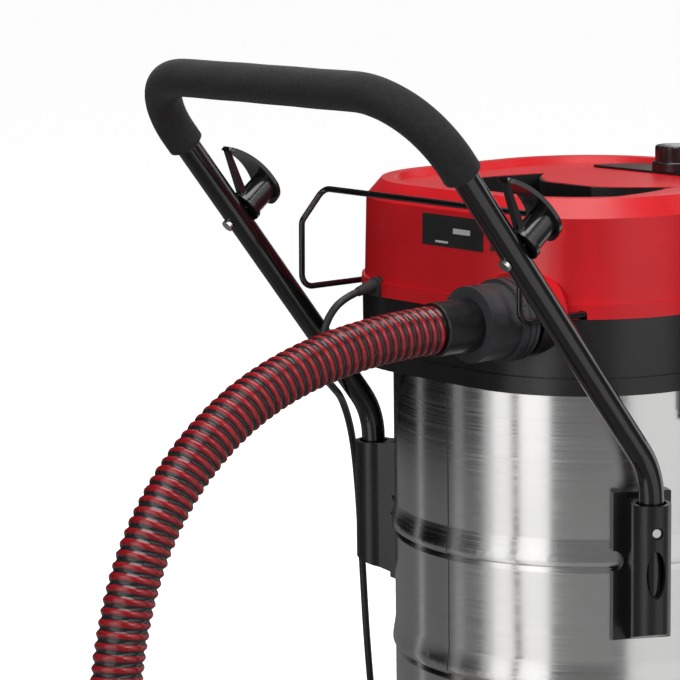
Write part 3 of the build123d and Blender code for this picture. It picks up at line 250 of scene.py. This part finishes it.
def from_bmesh(name, bm, slot_name, **options):
    bmesh.ops.recalc_face_normals(bm, faces=bm.faces)
    mesh = bpy.data.meshes.new(name)
    bm.to_mesh(mesh)
    bm.free()
    return finish_piece(name, mesh, slot_name, **options)


def spline_curve(name, points):
    """A smooth curve with the points as its control points."""
    curve = bpy.data.curves.new(name, "CURVE")
    curve.dimensions = "3D"
    curve.resolution_u = 12
    spline = curve.splines.new("NURBS")
    spline.points.add(len(points) - 1)
    for point, place in zip(spline.points, points):
        point.co = (*place, 1)
    spline.order_u = 3
    spline.use_endpoint_u = True
    return curve


def read_line(curve):
    """The points of a curve with no bevel."""
    holder = bpy.data.objects.new(curve.name + "_line", curve)
    bpy.context.scene.collection.objects.link(holder)
    bpy.context.view_layer.update()
    mesh = bpy.data.meshes.new_from_object(holder.evaluated_get(bpy.context.evaluated_depsgraph_get()))
    points = [vertex.co.copy() for vertex in mesh.vertices]
    bpy.data.objects.remove(holder)
    bpy.data.meshes.remove(mesh)
    return points


def line_length(points):
    return sum((b - a).length for a, b in zip(points, points[1:]))


def even_line(points, step):
    """The same line with its points a step apart."""
    total = line_length(points)
    count = max(2, round(total / step))
    step = total / count
    out = [points[0].copy()]
    along = 0.0
    target = step
    for a, b in zip(points, points[1:]):
        run = (b - a).length
        while target <= along + run + 1e-9 and len(out) < count:
            out.append(a.lerp(b, (target - along) / run))
            target += step
        along += run
    out.append(points[-1].copy())
    return out


def carried_frames(points):
    """Two unit vectors across the line at each point, carried along without twist."""
    tangents = []
    for i in range(len(points)):
        before = points[max(0, i - 1)]
        after = points[min(len(points) - 1, i + 1)]
        tangents.append((after - before).normalized())
    side = tangents[0].orthogonal().normalized()
    frames = []
    for tangent in tangents:
        side = (side - tangent * side.dot(tangent)).normalized()
        frames.append((side, tangent.cross(side)))
    return frames


# ---- the hose ----
# The route repeats the run's points, then goes round on the floor to the cuff.

HOSE_RADIUS = 0.022
HOSE_PITCH = 0.0092
HOSE_FURROW = 0.0024
HOSE_ROUTE = [
    (-0.111, 0.206, 0.622),
    (-0.111, 0.356, 0.622),
    (-0.118, 0.523, 0.518),
    (-0.128, 0.585, 0.328),
    (-0.142, 0.547, 0.138),
    (-0.156, 0.411, 0.027),
]
HOSE_COIL_CENTRE = Vector((0.080, 0.416))
HOSE_TURN_START = 196.0
HOSE_TURN_END = 578.0
HOSE_OUTER = 0.243
HOSE_INNER = 0.200


def hose_coil_points():
    points = []
    steps = 24
    for i in range(steps):
        share = i / (steps - 1)
        turn = math.radians(HOSE_TURN_START + share * (HOSE_TURN_END - HOSE_TURN_START))
        radius = 1.006 * (HOSE_OUTER + (HOSE_INNER - HOSE_OUTER) * share)
        x = HOSE_COIL_CENTRE.x + radius * math.cos(turn)
        y = HOSE_COIL_CENTRE.y + radius * math.sin(turn)
        points.append((x, y, HOSE_RADIUS + 0.0005))
    return points


HOSE_TAIL = [
    (-0.052, 0.2895, 0.0235),
    (-0.016, 0.2800, 0.0250),
    (0.0130, 0.2728, 0.0250),
]


def corrugated_tube(name, line, radius, furrow, pitch, around=40):
    """A tube whose wall rises and falls along a helix."""
    line = even_line(line, pitch / 8)
    frames = carried_frames(line)
    mesh = bpy.data.meshes.new(name)
    rows = []
    vertices = []
    along = 0.0
    for i, (point, (side, up)) in enumerate(zip(line, frames)):
        if i:
            along += (point - line[i - 1]).length
        row = []
        for k in range(around):
            turn = 2 * math.pi * k / around
            phase = along / pitch - k / around
            wave = 0.5 + 0.5 * math.cos(2 * math.pi * phase)
            reach = radius - furrow * (1 - wave ** 0.7)
            row.append(len(vertices))
            vertices.append(point + (side * math.cos(turn) + up * math.sin(turn)) * reach)
        rows.append((row, along))
    faces = []
    skins = []
    for (row, a), (after, b) in zip(rows, rows[1:]):
        for k in range(around):
            nxt = (k + 1) % around
            faces.append((row[k], row[nxt], after[nxt], after[k]))
            u0 = k / around
            u1 = (k + 1) / around
            skins += [(a / pitch - u0, u0), (a / pitch - u1, u1), (b / pitch - u1, u1), (b / pitch - u0, u0)]
    for row, along in (rows[0], rows[-1]):
        centre = sum((Vector(vertices[i]) for i in row), Vector()) / around
        vertices.append(centre)
        hub = len(vertices) - 1
        for k in range(around):
            nxt = (k + 1) % around
            face = (row[nxt], row[k], hub) if row is rows[0][0] else (row[k], row[nxt], hub)
            faces.append(face)
            skins += [(0.5, 0.0)] * 3
    mesh.from_pydata([tuple(v) for v in vertices], [], faces)
    layer = mesh.uv_layers.new(name="skin")
    for loop, uv in zip(layer.data, skins):
        loop.uv = uv
    return mesh, line


hose_line = read_line(spline_curve("hose_route", HOSE_ROUTE + hose_coil_points() + HOSE_TAIL))
hose_mesh, hose_path = corrugated_tube("suction_hose", hose_line, HOSE_RADIUS, HOSE_FURROW, HOSE_PITCH)
hose = finish_piece("suction_hose", hose_mesh, "hose")
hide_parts("hose_run", "hose_coil")

# ---- the mains lead ----

LEAD_RADIUS = 0.00375
LEAD_ROUTE = [
    (0.088, 0.128906, 0.627162),
    (0.088, 0.148312, 0.622323),
    (0.091, 0.163, 0.607),
    (0.095, 0.169, 0.585),
    (0.103, 0.163, 0.562),
    (0.128, 0.140, 0.540),
    (0.168, 0.097, 0.519),
    (0.208, 0.053, 0.497),
    (0.240, 0.015, 0.455),
    (0.253, -0.003, 0.398),
    (0.257, -0.011, 0.315),
    (0.256, -0.015, 0.225),
    (0.253, -0.021, 0.135),
    (0.250, -0.039, 0.062),
    (0.251, -0.091, 0.015),
]
LEAD_COIL_CENTRE = Vector((0.308, -0.129))
LEAD_STEP = 0.0076
LEAD_FIRST_TURN = 158.0


def lead_coil_points():
    """Twelve turns, wound column by column from the outside in."""
    points = []
    per_turn = 16
    turns = 12
    for i in range(per_turn * turns):
        t = i / per_turn
        column, layer = divmod(t, 3)
        into = min(1.0, max(0.0, layer - 2.5) * 2)
        radius = 0.0655 - LEAD_STEP * (column + into)
        level = min(layer, 2.5) - 0.25
        level = min(2.0, max(0.0, level))
        z = LEAD_RADIUS + LEAD_STEP * (2 - level if column % 2 == 0 else level)
        turn = math.radians(LEAD_FIRST_TURN + 360 * t)
        x = LEAD_COIL_CENTRE.x + 1.01 * radius * math.cos(turn)
        y = LEAD_COIL_CENTRE.y + 1.01 * radius * math.sin(turn)
        points.append((x, y, z))
    return points


def lead_tail_points():
    """Out over the turns and down to the plug."""
    points = []
    for turn, radius, z in ((170, 0.044, 0.0270), (188, 0.052, 0.0278), (206, 0.061, 0.0276), (222, 0.068, 0.0255),
                            (238, 0.0725, 0.0205)):
        angle = math.radians(turn)
        points.append((LEAD_COIL_CENTRE.x + radius * math.cos(angle), LEAD_COIL_CENTRE.y + radius * math.sin(angle), z))
    points.append((0.286, -0.201, 0.0172))
    points.append((0.2905, -0.2032, 0.0172))
    return points


lead_curve = spline_curve("mains_lead", LEAD_ROUTE + lead_coil_points() + lead_tail_points())
lead_length = line_length(read_line(lead_curve))
lead_curve.bevel_depth = LEAD_RADIUS
lead_curve.bevel_resolution = 5
lead_curve.use_fill_caps = True
lead_curve.materials.append(PAINTS["lead"])
lead = bpy.data.objects.new("mains_lead", lead_curve)
bpy.context.scene.collection.objects.link(lead)
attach(lead, BODY)
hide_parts("power_cord", "power_cord_coil")

# ---- the foam grip ----

FOAM_RADIUS = 0.018
FOAM_BORE = 0.0122
GRIP_CORNER = Vector((0.200, 0.303, 0.8415))
LEG_UP = Vector((0.0, 284.4, 362.0)).normalized()
FOAM_LEG = 0.091
HANDLE_BEND = 0.075


def grip_line():
    """Up the left leg, round the corner and across the bar, then down."""
    left = []
    start = GRIP_CORNER - LEG_UP * FOAM_LEG
    bend_start = GRIP_CORNER - LEG_UP * HANDLE_BEND
    inward = Vector((-1, 0, 0))
    centre = bend_start + inward * HANDLE_BEND
    left.append(start)
    left.append(start.lerp(bend_start, 0.5))
    for i in range(21):
        turn = math.radians(4.5 * i)
        left.append(centre - inward * HANDLE_BEND * math.cos(turn) + LEG_UP * HANDLE_BEND * math.sin(turn))
    for i in range(1, 6):
        left.append(left[22].lerp(Vector((0, left[22].y, left[22].z)), i / 6))
    right = [Vector((-p.x, p.y, p.z)) for p in reversed(left)]
    return left + [Vector((0, left[22].y, left[22].z))] + right


def foam_piece():
    line = even_line(grip_line(), 0.003)
    frames = carried_frames(line)
    total = line_length(line)
    around = 40
    bm = bmesh.new()
    rows = []
    along = 0.0
    for i, (point, (side, up)) in enumerate(zip(line, frames)):
        if i:
            along += (point - line[i - 1]).length
        edge = min(along, total - along)
        crown = 0.0038
        inset = 0.0
        if edge < crown:
            inset = crown - math.sqrt(crown ** 2 - (crown - edge) ** 2)
        row = []
        for k in range(around):
            turn = 2 * math.pi * k / around
            soft = 0.00022 * math.sin(3 * turn + along * 31) * math.sin(along * 57 + 1.3)
            reach = FOAM_RADIUS - 0.0003 - inset + soft
            row.append(bm.verts.new(point + (side * math.cos(turn) + up * math.sin(turn)) * reach))
        rows.append(row)
    for row, after in zip(rows, rows[1:]):
        for k in range(around):
            nxt = (k + 1) % around
            bm.faces.new((row[k], row[nxt], after[nxt], after[k]))
    for row, point in ((rows[0], line[0]), (rows[-1], line[-1])):
        inner = [bm.verts.new(point + (v.co - point).normalized() * FOAM_BORE) for v in row]
        for k in range(around):
            nxt = (k + 1) % around
            bm.faces.new((row[nxt], row[k], inner[k], inner[nxt]))
        bm.faces.new(inner)
    return from_bmesh("foam_sleeve", bm, "foam")


foam = foam_piece()
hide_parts("foam_grip")

# ---- what lies on the skins: the drum's weld, the blank rating plates and the knob's ticks ----

WELD_AZIMUTH = 93.0         # degrees round the drum's axis, from +X
WELD_HALF = 0.22            # half its width, in degrees
WELD_INSET = 0.012
WELD_ROWS = 150
WELD_PROUD = 0.00015
WELD_RAY_START = 0.26       # outside the drum's largest bead
SHEET_SINK = 0.0006
PLATE_ROWS = 3
PLATE_COLUMNS = 8
PLATE_RAY_START = 0.25      # behind the head's rear wall
PLATE_LIFT = 0.00020
FIELD_LIFT = 0.00030
TICK_TURNS = range(-120, 121, 30)
TICK_GAP = 0.0045
TICK_HALF = 0.0004
TICK_LENGTH = 0.0035
TICK_LIFT = 0.00010
TICK_SINK = 0.00020
WELD_PAINT = moulded("weld_line", (0.10, 0.10, 0.10), (0.20, 0.19, 0.19), 0.40, 700, 0.00003, 0.5, 1.0)
PLATE_BLACK = moulded("plate_black", (0.012, 0.012, 0.013), (0.020, 0.020, 0.021), 0.35, 900, 0.00001, 0.4)
PLATE_PALE = moulded("plate_pale", (0.42, 0.42, 0.42), (0.52, 0.52, 0.52), 0.45, 900, 0.00001, 0.4)


def skin_of(name):
    """A ray tree of a CAD node's faces in the row's frame."""
    part = frame["nodes"][name]
    place = part.matrix_world
    corners = [place @ vertex.co for vertex in part.data.vertices]
    return BVHTree.FromPolygons(corners, [face.vertices for face in part.data.polygons])


def sheet(name, front, sink, slot_name, material=None):
    """A closed thin sheet from a grid of (point, outward direction) rows."""
    bm = bmesh.new()
    outer = [[bm.verts.new(point) for point, out in row] for row in front]
    inner = [[bm.verts.new(point - out * sink) for point, out in row] for row in front]
    rows = len(front)
    columns = len(front[0])
    for i in range(rows - 1):
        for k in range(columns - 1):
            bm.faces.new((outer[i][k], outer[i][k + 1], outer[i + 1][k + 1], outer[i + 1][k]))
            bm.faces.new((inner[i][k], inner[i + 1][k], inner[i + 1][k + 1], inner[i][k + 1]))
    rim = [(0, k) for k in range(columns)] + [(i, columns - 1) for i in range(1, rows)]
    rim += [(rows - 1, k) for k in range(columns - 2, -1, -1)] + [(i, 0) for i in range(rows - 2, 0, -1)]
    for (i, k), (m, n) in zip(rim, rim[1:] + rim[:1]):
        bm.faces.new((outer[i][k], inner[i][k], inner[m][n], outer[m][n]))
    return from_bmesh(name, bm, slot_name, material=material, smooth=False)


def drum_weld():
    """The weld up the drum's skin, where the rolled sheet meets itself."""
    skin = skin_of("drum")
    rows = []
    low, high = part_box("drum")
    foot = low[2] + WELD_INSET
    rise = high[2] - WELD_INSET - foot
    for i in range(WELD_ROWS + 1):
        z = foot + rise * i / WELD_ROWS
        row = []
        for turn in (WELD_AZIMUTH - WELD_HALF, WELD_AZIMUTH, WELD_AZIMUTH + WELD_HALF):
            out = Vector((math.cos(math.radians(turn)), math.sin(math.radians(turn)), 0))
            start = Vector((0, DRUM_Y, z)) + out * WELD_RAY_START
            hit = skin.ray_cast(start, -out)[0]
            row.append((hit + out * WELD_PROUD, out))
        rows.append(row)
    return sheet("drum_weld", rows, SHEET_SINK, "stainless", WELD_PAINT)


def rear_plate(name, low_x, high_x, low_z, high_z, lift, slot_name, material=None):
    """A label that follows the top shell's rear wall."""
    skin = skin_of("head_top_shell")
    out = Vector((0, 1, 0))
    rows = []
    for i in range(PLATE_ROWS + 1):
        z = low_z + (high_z - low_z) * i / PLATE_ROWS
        row = []
        for k in range(PLATE_COLUMNS + 1):
            x = low_x + (high_x - low_x) * k / PLATE_COLUMNS
            hit = skin.ray_cast(Vector((x, PLATE_RAY_START, z)), -out)[0]
            row.append((hit + out * lift, out))
        rows.append(row)
    return sheet(name, rows, SHEET_SINK, slot_name, material)


drum_weld()
rear_plate("rating_plate", -0.065, 0.021, 0.678, 0.708, PLATE_LIFT, "black_plastic", PLATE_BLACK)
rear_plate("rating_plate_field", -0.047, -0.023, 0.6915, 0.6965, FIELD_LIFT, "black_plastic", PLATE_PALE)
rear_plate("rating_plate_frame", -0.016, 0.002, 0.6815, 0.6835, FIELD_LIFT, "black_plastic", PLATE_PALE)
rear_plate("small_plate", -0.088, -0.074, 0.680, 0.693, PLATE_LIFT, "black_plastic", PLATE_BLACK)


def dial_marks():
    """Printed ticks round the power knob, on the panel's top face."""
    low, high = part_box("control_panel")
    knob_low, knob_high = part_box("power_knob")
    centre = (knob_low + knob_high) / 2
    reach = (knob_high.x - knob_low.x) / 2 + TICK_GAP
    skin = skin_of("control_panel")
    bm = bmesh.new()
    down = Vector((0, 0, -1))
    for turn in TICK_TURNS:
        spoke = Vector((math.sin(math.radians(turn)), math.cos(math.radians(turn)), 0))
        side = Vector((spoke.y, -spoke.x, 0)) * TICK_HALF
        corners = []
        for along, across in ((0, -1), (0, 1), (TICK_LENGTH, 1), (TICK_LENGTH, -1)):
            spot = Vector((centre.x, centre.y, high.z + 0.02)) + spoke * (reach + along) + side * across
            hit = skin.ray_cast(spot, down)[0]
            if hit is None:
                break
            corners.append(hit)
        if len(corners) < 4:
            continue
        top = [bm.verts.new(corner + Vector((0, 0, TICK_LIFT))) for corner in corners]
        foot = [bm.verts.new(corner - Vector((0, 0, TICK_SINK))) for corner in corners]
        bm.faces.new(top)
        bm.faces.new(foot[::-1])
        for k in range(4):
            bm.faces.new((top[k], foot[k], foot[(k + 1) % 4], top[(k + 1) % 4]))
    return from_bmesh("dial_marks", bm, "black_plastic", material=PLATE_PALE, smooth=False)


dial_marks()

# ---- the camera, the floor and the light ----

SKY = 0.24
FLOOR_GLOW = 0.85
CARD_REACH = 1.9
CARD_TOP = 2.4
CARD_SPLIT = 0.10
CARD_FOOT = -1.2
CARD_LOW_BASE = 0.16        # below the split a card stands for the bright floor
CARD_LOW_SHARE = 0.80
# Cards round the drum, seen only in reflections: name, first and last azimuth in degrees, brightness.
CARDS = [
    ("card_dark_a", -25, 23, 0.0),
    ("card_streak_a", 23, 28, 0.35),
    ("card_dark_b", 28, 56, 0.0),
    ("card_streak_b", 56, 63, 0.30),
    ("card_dark_c", 63, 77, 0.05),
    ("card_soft", 77, 83, 0.60),
    ("card_bright", 83, 117, 1.5),
    ("card_mid", 117, 153, 0.19),
    ("card_side", 160, 205, 1.0),
    ("card_front_a", 215, 240, 0.10),
    ("card_front_b", 240, 272, 1.3),
    ("card_front_c", 272, 300, 0.06),
    ("card_front_d", 300, 312, 0.9),
    ("card_front_e", 312, 335, 0.12),
]
CAMERA_PLACE = Vector((-2.0006, 1.8425, 1.0289))
CAMERA_YAW = math.radians(51.011)
CAMERA_PITCH = math.radians(9.427)
CAMERA_ROLL = math.radians(-0.760)
CAMERA_LENS = 149.79

forward = Vector((math.sin(CAMERA_YAW) * math.cos(CAMERA_PITCH), -math.cos(CAMERA_YAW) * math.cos(CAMERA_PITCH),
                  -math.sin(CAMERA_PITCH)))
level_right = forward.cross(Vector((0, 0, 1))).normalized()
level_up = level_right.cross(forward)
right = level_right * math.cos(CAMERA_ROLL) + level_up * math.sin(CAMERA_ROLL)
up = level_up * math.cos(CAMERA_ROLL) - level_right * math.sin(CAMERA_ROLL)
camera_data = bpy.data.cameras.new("camera")
camera_data.lens = CAMERA_LENS
camera_data.sensor_width = 36
camera_data.clip_end = 100
camera_data.dof.use_dof = False
camera = bpy.data.objects.new("camera", camera_data)
bpy.context.scene.collection.objects.link(camera)
camera.matrix_world = Matrix.Translation(CAMERA_PLACE) @ Matrix((right, up, -forward)).transposed().to_4x4()
bpy.context.scene.camera = camera


def floor_material():
    material, tree, shader = new_material("studio_floor")
    tone = noise(tree, coordinates(tree), 0.2, 2)
    tree.links.new(blend_colours(tree, spread(tree, tone, 0, 1), (0.50, 0.50, 0.50), (0.52, 0.52, 0.52)),
                   shader.inputs["Base Color"])
    shader.inputs["Emission Color"].default_value = (1.0, 1.0, 1.0, 1)
    shader.inputs["Emission Strength"].default_value = FLOOR_GLOW
    shader.inputs["Roughness"].default_value = 0.8
    shader.inputs["Specular IOR Level"].default_value = 0.1
    return material


FLOOR_HALF = 40.0
floor_bm = bmesh.new()
bmesh.ops.create_grid(floor_bm, x_segments=4, y_segments=4, size=FLOOR_HALF)
floor_mesh = bpy.data.meshes.new("studio_floor")
floor_bm.to_mesh(floor_mesh)
floor_bm.free()
floor_mesh.materials.append(floor_material())
floor = bpy.data.objects.new("studio_floor", floor_mesh)
floor.location.z = -0.0005
floor.visible_glossy = False
floor.visible_diffuse = False
bpy.context.scene.collection.objects.link(floor)

world = bpy.data.worlds.new("studio")
world.use_nodes = True
sky = world.node_tree.nodes["Background"]
sky.inputs["Color"].default_value = (1.0, 1.0, 1.0, 1)
sky.inputs["Strength"].default_value = SKY
bpy.context.scene.world = world
bpy.context.scene.view_settings.view_transform = "Standard"


def area_light(name, place, aim, width, height, power):
    data = bpy.data.lights.new(name, "AREA")
    data.shape = "RECTANGLE"
    data.size = width
    data.size_y = height
    data.energy = power
    made = bpy.data.objects.new(name, data)
    bpy.context.scene.collection.objects.link(made)
    made.location = place
    made.rotation_euler = (Vector(aim) - Vector(place)).to_track_quat("-Z", "Y").to_euler()
    return made


def card_material(name, level):
    """A flat card of the studio, seen only in reflections."""
    material, tree, shader = new_material(name)
    tone = noise(tree, coordinates(tree), 1.2, 2)
    grey = blend_colours(tree, spread(tree, tone, 0, 1), (0.96 * level,) * 3, (level,) * 3)
    shader.inputs["Base Color"].default_value = (0.0, 0.0, 0.0, 1)
    shader.inputs["Roughness"].default_value = 1.0
    shader.inputs["Specular IOR Level"].default_value = 0.0
    tree.links.new(grey, shader.inputs["Emission Color"])
    shader.inputs["Emission Strength"].default_value = 1.0
    return material


def studio_card(name, start, end, level, foot, top):
    """A curved card round the drum from one azimuth to the other, in degrees."""
    mesh = bpy.data.meshes.new(name)
    steps = max(2, round((end - start) / 6))
    places = []
    for i in range(steps + 1):
        turn = math.radians(start + (end - start) * i / steps)
        x = CARD_REACH * math.cos(turn)
        y = DRUM_Y + CARD_REACH * math.sin(turn)
        places += [(x, y, foot), (x, y, top)]
    mesh.from_pydata(places, [], [(2 * i, 2 * i + 2, 2 * i + 3, 2 * i + 1) for i in range(steps)])
    mesh.materials.append(card_material(name, level))
    card = bpy.data.objects.new(name, mesh)
    bpy.context.scene.collection.objects.link(card)
    card.visible_camera = False
    card.visible_shadow = False
    card.visible_diffuse = False
    return card


for name, start, end, level in CARDS:
    studio_card(name, start, end, level, CARD_SPLIT, CARD_TOP)
    studio_card(name + "_low", start, end, CARD_LOW_BASE + CARD_LOW_SHARE * level, CARD_FOOT, CARD_SPLIT)

area_light("key", (-2.9, 0.2, 2.3), (0, 0, 0.55), 1.0, 1.6, 62)
area_light("top", (-0.2, 0.3, 3.4), (0, 0, 0.4), 2.0, 2.0, 62)
area_light("rear", (-0.6, 3.4, 1.2), (0, 0, 0.6), 0.7, 1.8, 34)
area_light("back", (2.4, -1.2, 2.2), (0, 0, 0.6), 1.0, 1.6, 30)
